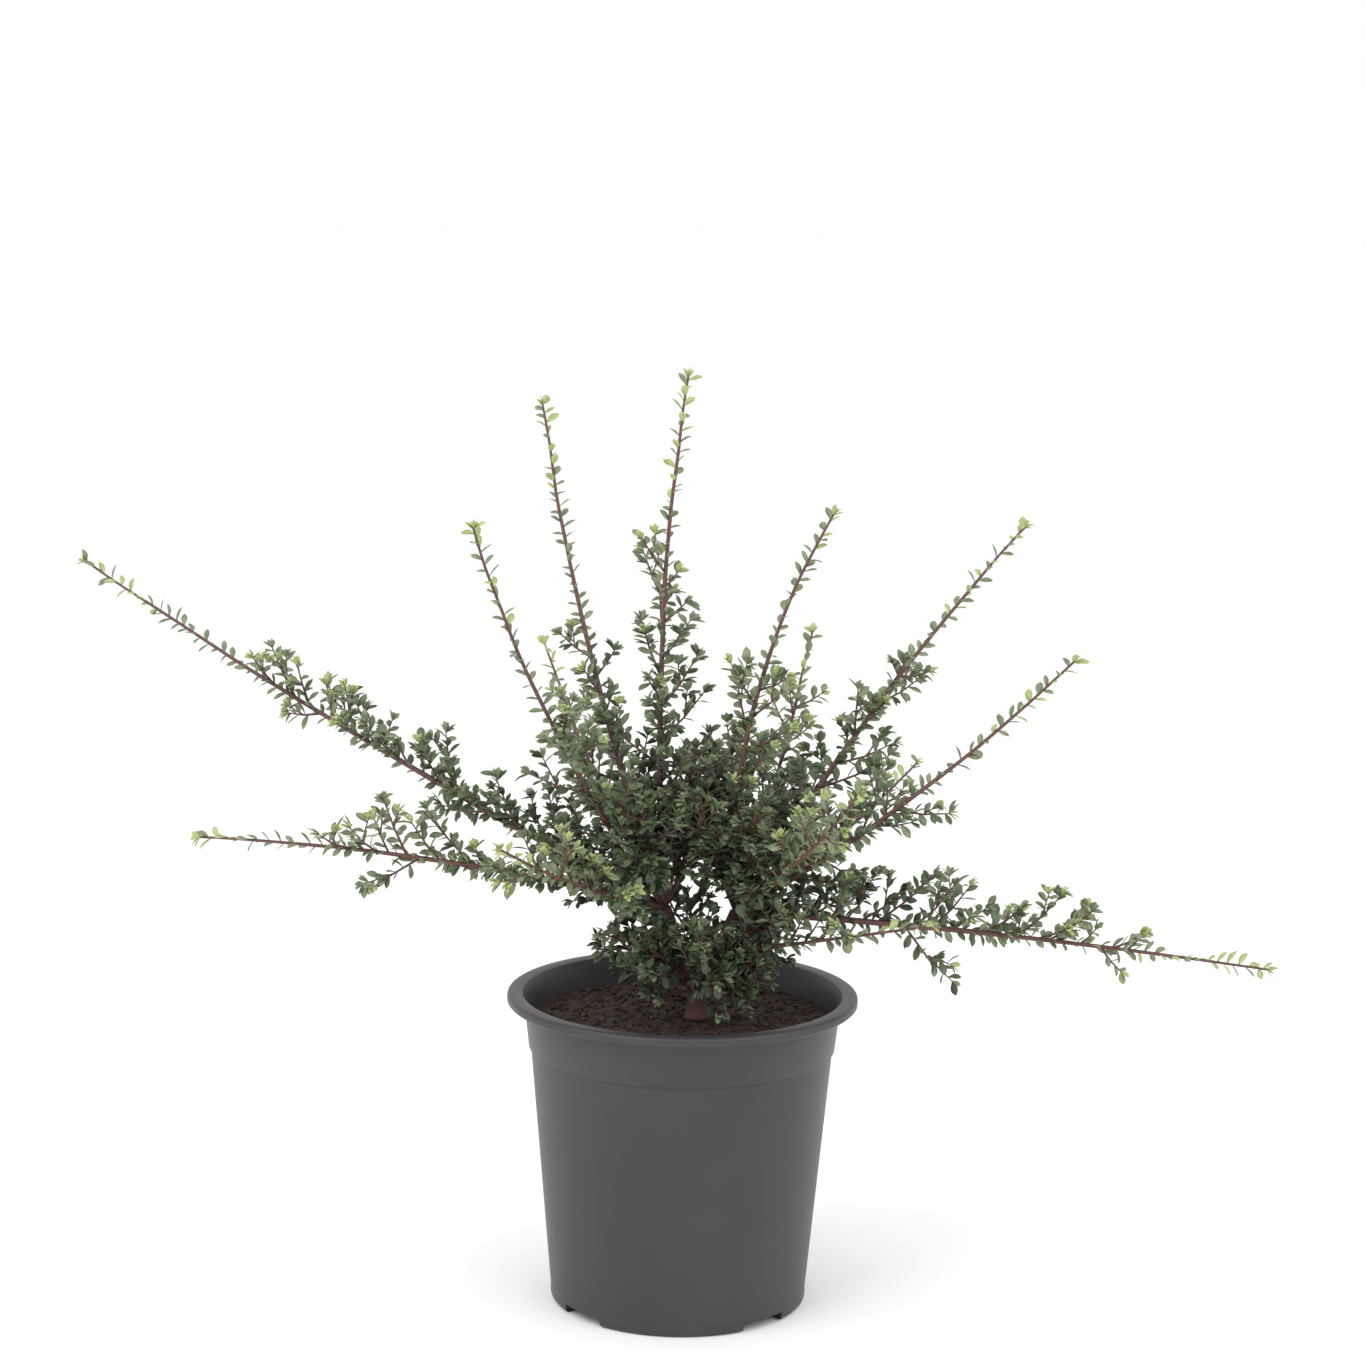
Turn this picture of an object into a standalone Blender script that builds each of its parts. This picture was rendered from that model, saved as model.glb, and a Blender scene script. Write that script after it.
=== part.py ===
"""Potted small-leaved cotoneaster: a young shrub whose long shoots fan out of a two-litre pot.

Metres, +Z up. The origin is the centre of the pot's flat underside, -Y is the front.
"""
import math
import random
from typing import NamedTuple

import bmesh
import bpy
from mathutils import Vector

MM = 0.001
GAP = 0.3 * MM

# The pot: a rim of 170 mm over a wall that narrows downwards
POT_HEIGHT = 152.5 * MM
RIM_RADIUS = 85 * MM
LIP_HEIGHT = 4.5 * MM
LIP_WIDTH = 8 * MM
SHOULDER_HEIGHT = 125.5 * MM
COLLAR_TOP_RADIUS = 76.8 * MM
COLLAR_FOOT_RADIUS = 74.2 * MM
BODY_TOP_RADIUS = 73.2 * MM
BODY_FOOT_RADIUS = 62.5 * MM
FOOT_HEIGHT = 6 * MM
FOOT_RADIUS = 60 * MM
FLOOR_HEIGHT = 7 * MM
WALL = 1.4 * MM
TURN_STEPS = 48
NOTCH_WIDTH = 25 * MM
NOTCH_HEIGHT = 4.5 * MM
NOTCH_DEPTH = 9 * MM
NOTCH_TURN = 42.0

# The soil and the stem's foot on it
SOIL_TOP = 139 * MM
SOIL_EDGE_DROP = 1.5 * MM
SOIL_SEAT_RADIUS = 25 * MM
SOIL_GAP = 0.6 * MM
FOOT_X = 7 * MM
FOOT_Y = 2 * MM
FLARE_RADIUS = 7 * MM
FOOT_STEM_RADIUS = 4.2 * MM
FORK_HEIGHT = 16 * MM
LEG_RADIUS = 2.8 * MM
LEFT_FORK = Vector((-9, 1, 194)) * MM
RIGHT_FORK = Vector((25, 3, 192)) * MM
LOW_FORK = Vector((17, 2.5, 171)) * MM
BASE_FORK = Vector((7, 2, 154)) * MM
STUB_LENGTH = 13 * MM

# Twigs and leaves, the leaves larger than life as there are fewer of them
BOUGH_SHARE = 0.3
TIP_RADIUS = 0.55 * MM
STEM_STEP = 16 * MM
TWIG_RADIUS = 0.55 * MM
TWIG_TIP_RADIUS = 0.3 * MM
TWIG_SIDES = 3
TWIG_LENGTH = 34 * MM
TWIG_SPACING = 25 * MM
TWIG_LEAN = 48.0
LEAF_LENGTH = 14 * MM
LEAF_WIDTH = 6.5 * MM
LEAF_THICKNESS = 1.1 * MM
LEAF_SPACING = 16 * MM
LEAF_LEAN = 52.0
LEAF_ROOT = 1.4 * MM
CLEARANCE = 0.4 * MM
JOINT_ROOM = 6 * MM
WELD = 0.00001


class Shoot(NamedTuple):
    """A shoot's headings in degrees (aim in the front view, lean towards the front) and size."""
    name: str
    fork: Vector
    aim: tuple
    lean: tuple
    length: float
    radius: float
    twigs_until: float


SHOOTS = (
    Shoot("far_left", LEFT_FORK, (156, 148), (-14, -10), 338 * MM, 2.0 * MM, 0.68),
    Shoot("left_low", LEFT_FORK, (161, 177), (20, 6), 229 * MM, 1.7 * MM, 0.7),
    Shoot("left_front", LEFT_FORK, (123, 107), (32, 10), 229 * MM, 1.5 * MM, 0.5),
    Shoot("centre_left", LEFT_FORK, (112, 99), (-24, -14), 260 * MM, 1.8 * MM, 0.45),
    Shoot("tall_centre", LEFT_FORK, (95, 82), (4, -6), 257 * MM, 1.9 * MM, 0.65),
    Shoot("right_centre", RIGHT_FORK, (96, 61), (22, 0), 211 * MM, 1.7 * MM, 0.6),
    Shoot("right_upper", RIGHT_FORK, (57, 48), (-20, -10), 239 * MM, 1.8 * MM, 0.6),
    Shoot("right_middle", RIGHT_FORK, (35, 47), (20, 8), 210 * MM, 1.6 * MM, 0.35),
    Shoot("far_right", RIGHT_FORK, (-1, -7), (8, 4), 256 * MM, 1.9 * MM, 0.75),
    Shoot("right_thin", LOW_FORK, (18, 14), (34, 20), 116 * MM, 1.1 * MM, 0.6),
    Shoot("front_left", LEFT_FORK, (152, 140), (56, 44), 140 * MM, 1.4 * MM, 0.8),
    Shoot("front_right", RIGHT_FORK, (52, 62), (56, 42), 150 * MM, 1.4 * MM, 0.8),
    Shoot("back_left", LEFT_FORK, (132, 112), (-56, -40), 190 * MM, 1.5 * MM, 0.8),
    Shoot("back_right", RIGHT_FORK, (66, 76), (-58, -40), 190 * MM, 1.5 * MM, 0.8),
    Shoot("back_low", RIGHT_FORK, (20, 38), (-50, -44), 160 * MM, 1.4 * MM, 0.8),
)
TUFTS = (
    Shoot("tuft_left", BASE_FORK, (160, 130), (14, 4), 52 * MM, 1.3 * MM, 0.9),
    Shoot("tuft_front", BASE_FORK, (95, 80), (62, 30), 52 * MM, 1.3 * MM, 0.9),
    Shoot("tuft_right", BASE_FORK, (24, 44), (-4, -16), 52 * MM, 1.3 * MM, 0.9),
    Shoot("tuft_back", BASE_FORK, (95, 100), (-58, -24), 54 * MM, 1.3 * MM, 0.9),
)

taken = []


def finish(name, base, roughness):
    """A plain material of one colour."""
    material = bpy.data.materials.new(name)
    material.use_nodes = True
    shader = material.node_tree.nodes["Principled BSDF"]
    shader.inputs["Base Color"].default_value = (*base, 1)
    shader.inputs["Roughness"].default_value = roughness
    return material


def add_object(name, mesh, group, material=None):
    """A new object of the mesh in the collection."""
    obj = bpy.data.objects.new(name, mesh)
    group.objects.link(obj)
    if material:
        mesh.materials.clear()
        mesh.materials.append(material)
    return obj


def baked_mesh(obj):
    """The object's shape with its modifiers applied."""
    shown = obj.evaluated_get(bpy.context.evaluated_depsgraph_get())
    return bpy.data.meshes.new_from_object(shown)


def turned(name, profile, group, material):
    """A profile of (radius, height) pairs turned round the pot's axis."""
    work = bmesh.new()
    points = [work.verts.new((radius, 0, height)) for radius, height in profile]
    for start, end in zip(points, points[1:]):
        work.edges.new((start, end))
    mesh = bpy.data.meshes.new(name)
    work.to_mesh(mesh)
    work.free()
    obj = add_object(name, mesh, group, material)
    screw = obj.modifiers.new("Turn", "SCREW")
    screw.steps = TURN_STEPS
    screw.render_steps = TURN_STEPS
    screw.use_merge_vertices = True
    screw.merge_threshold = WELD
    return obj


def wall_radius(height):
    """The inner radius of the pot at a height above its floor."""
    if height > SHOULDER_HEIGHT:
        low, high = (SHOULDER_HEIGHT, BODY_TOP_RADIUS), (POT_HEIGHT - LIP_HEIGHT, COLLAR_TOP_RADIUS)
    else:
        low, high = (FOOT_HEIGHT, BODY_FOOT_RADIUS), (SHOULDER_HEIGHT, BODY_TOP_RADIUS)
    share = (height - low[0]) / (high[0] - low[0])
    return low[1] + (high[1] - low[1]) * share - WALL


def make_pot(group, cutters, material):
    """The pot: floor, tapering wall, shoulder, rolled lip and four notches in the foot."""
    under_lip = POT_HEIGHT - LIP_HEIGHT
    corner = 1.5 * MM
    profile = (
        (0, FLOOR_HEIGHT),
        (wall_radius(FLOOR_HEIGHT), FLOOR_HEIGHT),
        (wall_radius(SHOULDER_HEIGHT), SHOULDER_HEIGHT),
        (wall_radius(under_lip), under_lip),
        (RIM_RADIUS - LIP_WIDTH, POT_HEIGHT - corner),
        (RIM_RADIUS - LIP_WIDTH + corner, POT_HEIGHT),
        (RIM_RADIUS - corner, POT_HEIGHT),
        (RIM_RADIUS, POT_HEIGHT - corner),
        (RIM_RADIUS, under_lip),
        (COLLAR_TOP_RADIUS, under_lip),
        (COLLAR_FOOT_RADIUS, SHOULDER_HEIGHT),
        (BODY_TOP_RADIUS, SHOULDER_HEIGHT - corner / 2),
        (BODY_FOOT_RADIUS, FOOT_HEIGHT),
        (FOOT_RADIUS, 0),
        (0, 0),
    )
    pot = turned("pot", profile, group, material)
    for turn in range(4):
        angle = math.radians(NOTCH_TURN + 90 * turn)
        work = bmesh.new()
        bmesh.ops.create_cube(work, size=1)
        bmesh.ops.scale(work, verts=work.verts, vec=(NOTCH_WIDTH, 2 * NOTCH_DEPTH, 2 * NOTCH_HEIGHT))
        mesh = bpy.data.meshes.new("notch")
        work.to_mesh(mesh)
        work.free()
        notch = add_object(f"notch_{turn}", mesh, cutters)
        notch.location = (BODY_FOOT_RADIUS * math.sin(angle), -BODY_FOOT_RADIUS * math.cos(angle), 0)
        notch.rotation_euler = (0, 0, angle)
        notch.hide_render = True
        notch.display_type = "WIRE"
        cut = pot.modifiers.new("Notch", "BOOLEAN")
        cut.operation = "DIFFERENCE"
        cut.object = notch
    return pot


def make_soil(group, material):
    """The peat that fills the pot, flat under the stem and lower at its edge."""
    edge = SOIL_TOP - SOIL_EDGE_DROP
    floor = FLOOR_HEIGHT + SOIL_GAP
    profile = (
        (0, SOIL_TOP),
        (SOIL_SEAT_RADIUS, SOIL_TOP),
        (wall_radius(edge) - SOIL_GAP, edge),
        (wall_radius(SHOULDER_HEIGHT) - SOIL_GAP, SHOULDER_HEIGHT),
        (wall_radius(floor) - SOIL_GAP, floor),
        (0, floor),
    )
    return turned("soil", profile, group, material)


def limb_mesh(points, radii, resolution=1):
    """A closed tapering limb along the points, its cut ends filled and welded."""
    curve = bpy.data.curves.new("limb", "CURVE")
    curve.dimensions = "3D"
    curve.bevel_depth = 1.0
    curve.bevel_resolution = resolution
    curve.use_fill_caps = True
    spline = curve.splines.new("POLY")
    spline.points.add(len(points) - 1)
    for knot, point, radius in zip(spline.points, points, radii):
        knot.co = (*point, 1)
        knot.radius = radius
    obj = bpy.data.objects.new("limb", curve)
    bpy.context.scene.collection.objects.link(obj)
    mesh = baked_mesh(obj)
    bpy.data.objects.remove(obj)
    work = bmesh.new()
    work.from_mesh(mesh)
    bmesh.ops.remove_doubles(work, verts=work.verts, dist=WELD)
    bmesh.ops.recalc_face_normals(work, faces=work.faces)
    work.to_mesh(mesh)
    work.free()
    return mesh


def heading(shoot, share):
    """The direction of growth at a share of the shoot's length."""
    aim = math.radians(shoot.aim[0] + (shoot.aim[1] - shoot.aim[0]) * share)
    lean = math.radians(shoot.lean[0] + (shoot.lean[1] - shoot.lean[0]) * share)
    flat = math.cos(lean)
    return Vector((flat * math.cos(aim), -math.sin(lean), flat * math.sin(aim)))


def grow(shoot, start, end):
    """Points along the shoot between two distances from its fork."""
    count = max(2, round((end - start) / STEM_STEP))
    fine = 200
    place = shoot.fork.copy()
    walk = [place.copy()]
    for step in range(fine):
        place += heading(shoot, (step + 0.5) / fine) * shoot.length / fine
        walk.append(place.copy())

    def at(distance):
        slot = min(distance / shoot.length * fine, fine - 0.001)
        low = int(slot)
        return walk[low].lerp(walk[low + 1], slot - low)

    return [at(start + (end - start) * step / count) for step in range(count + 1)]


def radius_at(shoot, distance):
    """The stem's radius at a distance from its fork."""
    return shoot.radius + (TIP_RADIUS - shoot.radius) * distance / shoot.length


def between(first, second):
    """The least distance between two straight pieces."""
    a, b = first
    c, d = second
    along, across, back = b - a, d - c, a - c
    aa, ee, ff = along.dot(along), across.dot(across), across.dot(back)
    cc, bb = along.dot(back), along.dot(across)
    flat = aa * ee - bb * bb
    s = min(max((bb * ff - cc * ee) / flat, 0), 1) if flat > 1e-18 else 0.0
    t = (bb * s + ff) / ee
    if t < 0 or t > 1:
        t = min(max(t, 0), 1)
        s = min(max((bb * t - cc) / aa, 0), 1)
    return (a + along * s - c - across * t).length


def is_free(owner, start, end, radius):
    """Whether a twig or leaf stays clear of every other node, the soil and the pot."""
    if min(start.z, end.z) - radius < SOIL_TOP + 2 * MM:
        return False
    for point in (start, end):
        if point.z < POT_HEIGHT + 8 * MM and point.xy.length > 66 * MM:
            return False
    for other, low, high, width in taken:
        if other != owner and between((start, end), (low, high)) < radius + width + CLEARANCE:
            return False
    return True


def claim(owner, points, radii):
    """Keep a limb's space free of other nodes."""
    for low, high, near, far in zip(points, points[1:], radii, radii[1:]):
        taken.append((owner, low, high, max(near, far)))


def twig_mesh(start, end):
    """A three-sided twig between two points."""
    work = bmesh.new()
    length = (end - start).length
    bmesh.ops.create_cone(work, cap_ends=True, segments=TWIG_SIDES, radius1=TWIG_RADIUS,
                          radius2=TWIG_TIP_RADIUS, depth=length)
    turn = (end - start).to_track_quat("Z", "Y").to_matrix()
    bmesh.ops.transform(work, matrix=turn.to_4x4(), verts=work.verts)
    bmesh.ops.translate(work, vec=(start + end) / 2, verts=work.verts)
    mesh = bpy.data.meshes.new("twig")
    work.to_mesh(mesh)
    work.free()
    return mesh


def leaf_mesh(root, tip, roll):
    """A leaf of eight faces, widest beyond its middle."""
    work = bmesh.new()
    bmesh.ops.create_uvsphere(work, u_segments=4, v_segments=2, radius=0.5)
    length = (tip - root).length
    for vert in work.verts:
        if abs(vert.co.z) < 0.25:
            vert.co.z = 0.12
    bmesh.ops.scale(work, verts=work.verts, vec=(LEAF_WIDTH, LEAF_THICKNESS, length))
    turn = (tip - root).to_track_quat("Z", "Y").to_matrix().to_4x4()
    twist = turn.Rotation(roll, 4, "Z")
    bmesh.ops.transform(work, matrix=turn @ twist, verts=work.verts)
    bmesh.ops.translate(work, vec=(root + tip) / 2, verts=work.verts)
    mesh = bpy.data.meshes.new("leaf")
    work.to_mesh(mesh)
    work.free()
    return mesh


def side_way(along, angle, lean):
    """A direction leaning away from another, turned round it from its upper side."""
    up = Vector((0, 0, 1)) if abs(along.z) < 0.9 else Vector((0, -1, 0))
    side = along.cross(up).normalized()
    over = side.cross(along).normalized()
    out = over * math.cos(angle) + side * math.sin(angle)
    return (along * math.cos(lean) + out * math.sin(lean)).normalized()


def add_leaves(owner, points, rng, meshes, start):
    """Leaves by turns on both sides of a stem, and one at its tip."""
    along_all = sum((b - a).length for a, b in zip(points, points[1:]))
    distance, turn = start, rng.random() * math.tau
    while distance < along_all:
        left = distance
        for low, high in zip(points, points[1:]):
            run = (high - low).length
            if left <= run:
                break
            left -= run
        along = (high - low).normalized()
        root = low + along * min(left, run)
        way = side_way(along, turn, math.radians(LEAF_LEAN + rng.uniform(-8, 8)))
        place_leaf(owner, root, way, rng, meshes)
        turn += math.pi * rng.uniform(0.75, 1.05)
        distance += LEAF_SPACING * rng.uniform(0.85, 1.15)
    place_leaf(owner, points[-1], (points[-1] - points[-2]).normalized(), rng, meshes, 0.75)


def place_leaf(owner, root, way, rng, meshes, size=1.0):
    """One leaf, skipped where it would touch another node."""
    length = LEAF_LENGTH * size * rng.uniform(0.85, 1.1)
    roll = rng.uniform(-0.5, 0.5)
    tip = root + way * (length - LEAF_ROOT)
    if is_free(owner, root + way * TWIG_RADIUS, tip, LEAF_WIDTH * 0.5):
        meshes.append(leaf_mesh(root - way * LEAF_ROOT, tip, roll))
        taken.append((owner, root, tip, LEAF_WIDTH * 0.45))


def add_twigs(owner, shoot, points, rng, meshes):
    """Side twigs by turns up to a share of the shoot, shorter towards its tip."""
    turn = rng.uniform(-0.6, 0.6)
    spaced = JOINT_ROOM
    span = sum((b - a).length for a, b in zip(points, points[1:]))
    while spaced < span * shoot.twigs_until:
        share = spaced / span
        slot = min(int(share * (len(points) - 1)), len(points) - 2)
        low, high = points[slot], points[slot + 1]
        root = low.lerp(high, share * (len(points) - 1) - slot)
        along = (high - low).normalized()
        way = side_way(along, turn, math.radians(TWIG_LEAN + rng.uniform(-10, 10)))
        length = TWIG_LENGTH * (1.1 - 0.6 * share) * rng.uniform(0.6, 1.1)
        end = root + way * length
        if is_free(owner, root + way * TWIG_RADIUS * 2, end, TWIG_RADIUS):
            meshes.append(twig_mesh(root - way * TWIG_RADIUS * 0.3, end))
            taken.append((owner, root, end, TWIG_RADIUS))
            add_leaves(owner, [root, end], rng, meshes, LEAF_SPACING * 0.7)
        turn += math.radians(rng.uniform(110, 170)) * rng.choice((-1, 1))
        spaced += TWIG_SPACING * rng.uniform(0.8, 1.2)


def joined(name, base, meshes, group, material):
    """One closed body from a base and the pieces fused on it, with loose scraps dropped."""
    obj = add_object(name, base, group, material)
    pieces = bpy.data.collections.new(name + "_pieces")
    bpy.context.scene.collection.children.link(pieces)
    for index, mesh in enumerate(meshes):
        add_object(f"{name}_piece_{index}", mesh, pieces)
    fuse = obj.modifiers.new("Fuse", "BOOLEAN")
    fuse.operation = "UNION"
    fuse.operand_type = "COLLECTION"
    fuse.collection = pieces
    fuse.solver = "MANIFOLD"
    mesh = baked_mesh(obj)
    obj.modifiers.clear()
    for piece in list(pieces.objects):
        bpy.data.objects.remove(piece)
    bpy.data.collections.remove(pieces)
    work = bmesh.new()
    work.from_mesh(mesh)
    left = set(work.faces)
    largest = set()
    while left:
        island, edge = set(), [left.pop()]
        while edge:
            face = edge.pop()
            island.add(face)
            near = {other for rim in face.edges for other in rim.link_faces} & left
            edge.extend(near)
            left -= near
        largest = max(largest, island, key=len)
    scraps = [face for face in work.faces if face not in largest]
    bmesh.ops.delete(work, geom=scraps, context="FACES")
    work.to_mesh(mesh)
    work.free()
    obj.data = mesh
    mesh.materials.clear()
    mesh.materials.append(material)
    return obj


def make_trunk(group, material):
    """The flared foot, its two legs, and a short stub for each bough and tuft."""
    foot = Vector((FOOT_X, FOOT_Y, SOIL_TOP + GAP))
    heights = (0, 3 * MM, 8 * MM, FORK_HEIGHT)
    radii = (FLARE_RADIUS, 5.2 * MM, FOOT_STEM_RADIUS + 0.3 * MM, FOOT_STEM_RADIUS)
    base = limb_mesh([foot + Vector((0, 0, height)) for height in heights], radii, 2)
    crotch = foot + Vector((0, 0, FORK_HEIGHT - 4 * MM))
    pieces = []
    for fork in (LEFT_FORK, RIGHT_FORK):
        middle = crotch.lerp(fork, 0.5) + Vector((0, 0, -2 * MM))
        claim("trunk", [crotch, middle, fork], [4.2 * MM, 3.4 * MM, 3.4 * MM])
        pieces.append(limb_mesh([crotch, middle, fork], [3.9 * MM, 3.3 * MM, LEG_RADIUS]))
    claim("trunk", [foot, crotch], [FLARE_RADIUS, FOOT_STEM_RADIUS])
    for shoot in SHOOTS + TUFTS:
        points = grow(shoot, 0, STUB_LENGTH)
        radii = [shoot.radius] * len(points)
        claim("trunk", points, radii)
        pieces.append(limb_mesh(points, radii))
    return joined("trunk", base, pieces, group, material)


def make_bough(shoot, group, material):
    """The inner part of a shoot, one tapering limb."""
    start = STUB_LENGTH + GAP
    points = grow(shoot, start, shoot.length * BOUGH_SHARE)
    count = len(points) - 1
    span = shoot.length * BOUGH_SHARE - start
    radii = [radius_at(shoot, start + span * step / count) for step in range(count + 1)]
    claim("bough_" + shoot.name, points, radii)
    return add_object("bough_" + shoot.name, limb_mesh(points, radii), group, material)


def mass_stem(shoot, start):
    """The points and radii of a mass's stem, from its joint to its furthest tip."""
    points = grow(shoot, start, shoot.length)
    count = len(points) - 1
    radii = [radius_at(shoot, start + (shoot.length - start) * step / count) for step in range(count + 1)]
    claim("foliage_" + shoot.name, points, radii)
    return points, radii


def make_mass(shoot, stem, seed, group, material):
    """A spray of twigs and leaves on one stem, keeping to its own space."""
    name = "foliage_" + shoot.name
    rng = random.Random(seed)
    points, radii = stem
    meshes = []
    add_twigs(name, shoot, points, rng, meshes)
    add_leaves(name, points, rng, meshes, JOINT_ROOM + LEAF_WIDTH)
    return joined(name, limb_mesh(points, radii, 0), meshes, group, material)


def main():
    """Build the pot, the soil and the plant."""
    for obj in list(bpy.data.objects):
        bpy.data.objects.remove(obj)
    group = bpy.data.collections.new("potted_cotoneaster")
    cutters = bpy.data.collections.new("cutters")
    for collection in (group, cutters):
        bpy.context.scene.collection.children.link(collection)
    plastic = finish("pot_plastic", (0.07, 0.06, 0.07), 0.45)
    peat = finish("peat", (0.03, 0.018, 0.014), 0.95)
    bark = finish("bark", (0.13, 0.06, 0.05), 0.7)
    green = finish("foliage", (0.12, 0.17, 0.09), 0.6)
    make_pot(group, cutters, plastic)
    make_soil(group, peat)
    make_trunk(group, bark)
    stems = []
    for shoot in SHOOTS:
        make_bough(shoot, group, bark)
        stems.append((shoot, mass_stem(shoot, shoot.length * BOUGH_SHARE + GAP)))
    for shoot in TUFTS:
        stems.append((shoot, mass_stem(shoot, STUB_LENGTH + GAP)))
    for seed, (shoot, stem) in enumerate(stems):
        make_mass(shoot, stem, seed, group, green)


main()
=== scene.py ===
"""The looks of a potted small-leaved cotoneaster: pot, peat, bark, twigs and leaves.

Metres, +Z up. The origin is the centre of the pot's underside, and the front faces -Y.
"""
import logging
import math
import random
from bisect import bisect_right
from dataclasses import dataclass, field
from enum import Enum

import bmesh
import bpy
import numpy as np
from mathutils import Matrix, Vector, noise


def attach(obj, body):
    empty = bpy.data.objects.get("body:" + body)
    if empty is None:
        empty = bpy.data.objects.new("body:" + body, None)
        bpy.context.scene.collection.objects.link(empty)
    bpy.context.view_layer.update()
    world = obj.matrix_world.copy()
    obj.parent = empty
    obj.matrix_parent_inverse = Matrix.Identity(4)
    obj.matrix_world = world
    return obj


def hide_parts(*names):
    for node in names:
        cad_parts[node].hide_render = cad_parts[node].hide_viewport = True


LOG = logging.getLogger("cotoneaster")
MM = 0.001
WELD_DISTANCE = 0.01 * MM
UP = Vector((0, 0, 1))
FRONT = Vector((0, -1, 0))
RIGHT = Vector((1, 0, 0))
NEARLY_UPRIGHT = 0.9
NEARLY_PARALLEL = 0.1

Color = tuple[float, float, float]
Place = tuple[float, float, float]
Span = tuple[float, float]
Limb = tuple[list[Vector], list[float]]


class Tint(Enum):
    """The leaf colours, from the shaded heart to the young tips."""
    HEART = ("leaf_heart", (0.042, 0.060, 0.034), (0.080, 0.105, 0.056))
    DEEP = ("leaf_deep", (0.085, 0.118, 0.064), (0.155, 0.195, 0.105))
    GREY = ("leaf_grey", (0.160, 0.205, 0.120), (0.280, 0.320, 0.195))
    YOUNG = ("leaf_young", (0.320, 0.390, 0.150), (0.500, 0.560, 0.260))


@dataclass(frozen=True)
class Mottle:
    """A shader group that varies a colour, the roughness and the relief over a surface."""
    name: str = "mottle"
    detail: float = 6.0
    dark_below: float = 0.3
    light_above: float = 0.7
    roughness_swing: float = 0.15
    relief_height: float = 0.4 * MM

    def group(self) -> bpy.types.NodeTree:
        """Build the group once and return it.

        Returns:
            The shared node group.
        """
        found = bpy.data.node_groups.get(self.name)
        if found:
            return found
        tree = bpy.data.node_groups.new(self.name, "ShaderNodeTree")
        for label, kind in (("Dark", "NodeSocketColor"), ("Light", "NodeSocketColor"),
                            ("Scale", "NodeSocketFloat"), ("Relief", "NodeSocketFloat"),
                            ("Rough", "NodeSocketFloat"), ("Stretch", "NodeSocketVector")):
            tree.interface.new_socket(label, in_out="INPUT", socket_type=kind)
        for label, kind in (("Color", "NodeSocketColor"), ("Roughness", "NodeSocketFloat"),
                            ("Normal", "NodeSocketVector")):
            tree.interface.new_socket(label, in_out="OUTPUT", socket_type=kind)
        nodes, link = tree.nodes, tree.links.new
        inlet = nodes.new("NodeGroupInput")
        outlet = nodes.new("NodeGroupOutput")
        place = nodes.new("ShaderNodeTexCoord")
        stretch = nodes.new("ShaderNodeVectorMath")
        stretch.operation = "MULTIPLY"
        grain = nodes.new("ShaderNodeTexNoise")
        grain.inputs["Detail"].default_value = self.detail
        mix = nodes.new("ShaderNodeMix")
        mix.data_type = "RGBA"
        spread = nodes.new("ShaderNodeMapRange")
        spread.inputs["From Min"].default_value = self.dark_below
        spread.inputs["From Max"].default_value = self.light_above
        vary = nodes.new("ShaderNodeMath")
        vary.operation = "MULTIPLY_ADD"
        vary.inputs[1].default_value = self.roughness_swing
        bump = nodes.new("ShaderNodeBump")
        bump.inputs["Distance"].default_value = self.relief_height
        link(place.outputs["Object"], stretch.inputs[0])
        link(inlet.outputs["Stretch"], stretch.inputs[1])
        link(stretch.outputs[0], grain.inputs["Vector"])
        link(inlet.outputs["Scale"], grain.inputs["Scale"])
        link(grain.outputs["Fac"], spread.inputs["Value"])
        link(spread.outputs["Result"], mix.inputs["Factor"])
        link(inlet.outputs["Dark"], mix.inputs["A"])
        link(inlet.outputs["Light"], mix.inputs["B"])
        link(grain.outputs["Fac"], vary.inputs[0])
        link(inlet.outputs["Rough"], vary.inputs[2])
        link(grain.outputs["Fac"], bump.inputs["Height"])
        link(inlet.outputs["Relief"], bump.inputs["Strength"])
        link(mix.outputs["Result"], outlet.inputs["Color"])
        link(vary.outputs[0], outlet.inputs["Roughness"])
        link(bump.outputs["Normal"], outlet.inputs["Normal"])
        return tree


@dataclass(frozen=True)
class Finish:
    """A surface finish made of the mottle group and a Principled shader."""
    name: str
    dark: Color
    light: Color
    scale: float
    relief: float
    rough: float
    stretch: Place = (1, 1, 1)
    specular: float = 0.5

    def material(self) -> bpy.types.Material:
        """Find the material of the finish's name, or make it.

        Returns:
            The material.
        """
        found = bpy.data.materials.get(self.name)
        if found:
            return found
        made = bpy.data.materials.new(self.name)
        made.use_nodes = True
        nodes, link = made.node_tree.nodes, made.node_tree.links.new
        shader = nodes["Principled BSDF"]
        shader.inputs["Specular IOR Level"].default_value = self.specular
        mottle = nodes.new("ShaderNodeGroup")
        mottle.node_tree = Mottle().group()
        mottle.inputs["Dark"].default_value = (*self.dark, 1)
        mottle.inputs["Light"].default_value = (*self.light, 1)
        mottle.inputs["Scale"].default_value = self.scale
        mottle.inputs["Relief"].default_value = self.relief
        mottle.inputs["Rough"].default_value = self.rough
        mottle.inputs["Stretch"].default_value = self.stretch
        link(mottle.outputs["Color"], shader.inputs["Base Color"])
        link(mottle.outputs["Roughness"], shader.inputs["Roughness"])
        link(mottle.outputs["Normal"], shader.inputs["Normal"])
        return made


POT_PLASTIC = Finish("pot_plastic", (0.030, 0.025, 0.030), (0.040, 0.034, 0.040),
                     scale=14, relief=0.05, rough=0.36)
PEAT = Finish("peat", (0.008, 0.004, 0.003), (0.060, 0.032, 0.024), scale=300, relief=0.9, rough=0.85)
CRUMB = Finish("peat_crumb", (0.025, 0.013, 0.010), (0.110, 0.065, 0.048),
               scale=200, relief=0.6, rough=0.85)
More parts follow.
